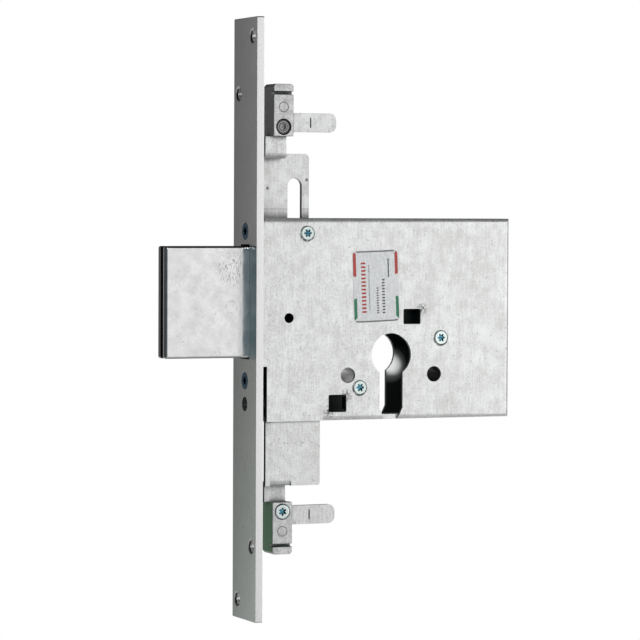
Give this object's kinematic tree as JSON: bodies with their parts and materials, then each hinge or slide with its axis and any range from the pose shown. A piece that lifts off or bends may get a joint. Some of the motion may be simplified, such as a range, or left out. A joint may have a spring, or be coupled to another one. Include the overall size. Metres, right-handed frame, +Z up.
{
  "type": "mortise lock",
  "caption": "Mortise deadbolt lock for a euro-profile cylinder, with a long faceplate, a sheet-metal case and upper and lower slides that drive vertical locking rods.",
  "frame": {"origin": "on the cylinder axis, at the middle of the case's thickness", "axes": "+X from the faceplate towards the rear of the case, +Y away from the cover side, +Z up along the faceplate"},
  "size_m": [0.1482, 0.025, 0.24],
  "materials": {
    "faceplate_steel": "satin nickel-plated or zinc-plated steel",
    "dark_zinc_screws": "dark blue passivated zinc",
    "galvanised_sheet": "galvanised steel sheet with a fine grain",
    "turned_steel": "turned steel, zinc plated",
    "bright_zinc_screws": "bright blue-white zinc",
    "bolt_zinc": "cloudy zinc plating with wear",
    "slide_sheet": "galvanised steel sheet",
    "die_cast_block": "as-cast grey zinc alloy",
    "black_screw": "black oxide",
    "spring_steel": "blued spring steel",
    "label_foil": null
  },
  "bodies": {
    "case": {"case_back": "galvanised_sheet", "case_cover": "galvanised_sheet", "faceplate": "faceplate_steel", "faceplate_screws": "dark_zinc_screws", "spacer_pillars": "turned_steel", "cover_screws": "bright_zinc_screws", "escutcheon_sleeves": "turned_steel", "lower_slide_stud": "turned_steel", "tail_guide_stud": "turned_steel", "lever_pivot": "turned_steel", "lever_spring": "spring_steel", "label": "label_foil"},
    "bolt": {"deadbolt": "bolt_zinc", "bolt_tail": "slide_sheet", "bolt_rivets": "turned_steel", "drive_pin": "turned_steel"},
    "upper_rod_slide": {"upper_slide": "slide_sheet", "upper_rod_block": "die_cast_block", "upper_block_rivet": "turned_steel", "upper_clamp_screw": "black_screw"},
    "lower_rod_slide": {"lower_slide": "slide_sheet", "lower_rod_block": "die_cast_block", "lower_block_rivet": "turned_steel", "lower_clamp_screw": "bright_zinc_screws"},
    "lever": {"locking_lever": "slide_sheet", "lever_peg": "turned_steel"}
  },
  "joints": [
    {"name": "bolt_throw", "type": "slide", "parent": "case", "child": "bolt", "axis": [1, 0, 0], "range_m": [0, 0.035]},
    {"name": "upper_slide_travel", "type": "slide", "parent": "case", "child": "upper_rod_slide", "axis": [0, 0, -1], "range_m": [0, 0.0175]},
    {"name": "lower_slide_travel", "type": "slide", "parent": "case", "child": "lower_rod_slide", "axis": [0, 0, 1], "range_m": [0, 0.0175]},
    {"name": "lever_lift", "type": "hinge", "parent": "case", "child": "lever", "pos_m": [0.036, 0.0028, 0.04], "axis": [0, 1, 0], "range_deg": [-6.5, 0]}
  ],
  "couplings": [
    {"joint": "upper_slide_travel", "follows": "bolt_throw", "ratio": 0.5},
    {"joint": "lower_slide_travel", "follows": "bolt_throw", "ratio": 0.5}
  ]
}
